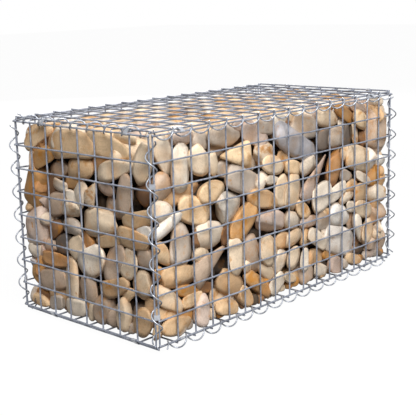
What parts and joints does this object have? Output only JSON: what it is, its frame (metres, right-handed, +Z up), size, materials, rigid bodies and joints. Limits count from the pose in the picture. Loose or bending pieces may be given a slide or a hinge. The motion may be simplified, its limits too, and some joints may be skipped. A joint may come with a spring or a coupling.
{
  "type": "gabion wall basket",
  "caption": "Free-standing gabion wall unit: a welded wire mesh basket laced at its edges with wire spirals and filled with rounded river pebbles.",
  "frame": {"origin": "middle of the footprint, on the ground under the two long bottom spirals", "axes": "+X along the wall, -Y out of the front face, +Z up"},
  "size_m": [0.835, 0.4352, 0.4347],
  "materials": {
    "mesh_wire": "galvanised, dull silver",
    "spiral_wire": "galvanised, satin",
    "clip_steel": "zinc plated, satin",
    "pebbles": "water-worn, matt"
  },
  "bodies": {
    "root": {"front_panel": "mesh_wire", "back_panel": "mesh_wire", "left_end_panel": "mesh_wire", "right_end_panel": "mesh_wire", "lid_panel": "mesh_wire", "base_panel": "mesh_wire", "front_left_spiral": "spiral_wire", "front_right_spiral": "spiral_wire", "back_left_spiral": "spiral_wire", "back_right_spiral": "spiral_wire", "top_front_spiral": "spiral_wire", "bottom_front_spiral": "spiral_wire", "bottom_back_spiral": "spiral_wire", "top_left_spiral": "spiral_wire", "front_left_clips": "clip_steel", "front_right_clips": "clip_steel", "back_left_clips": "clip_steel", "back_right_clips": "clip_steel", "top_front_clips": "clip_steel", "bottom_front_clips": "clip_steel", "bottom_back_clips": "clip_steel", "top_left_clips": "clip_steel", "top_back_clips": "clip_steel", "top_right_clips": "clip_steel", "bottom_left_clips": "clip_steel", "bottom_right_clips": "clip_steel", "stone_fill": "pebbles"}
  },
  "joints": []
}
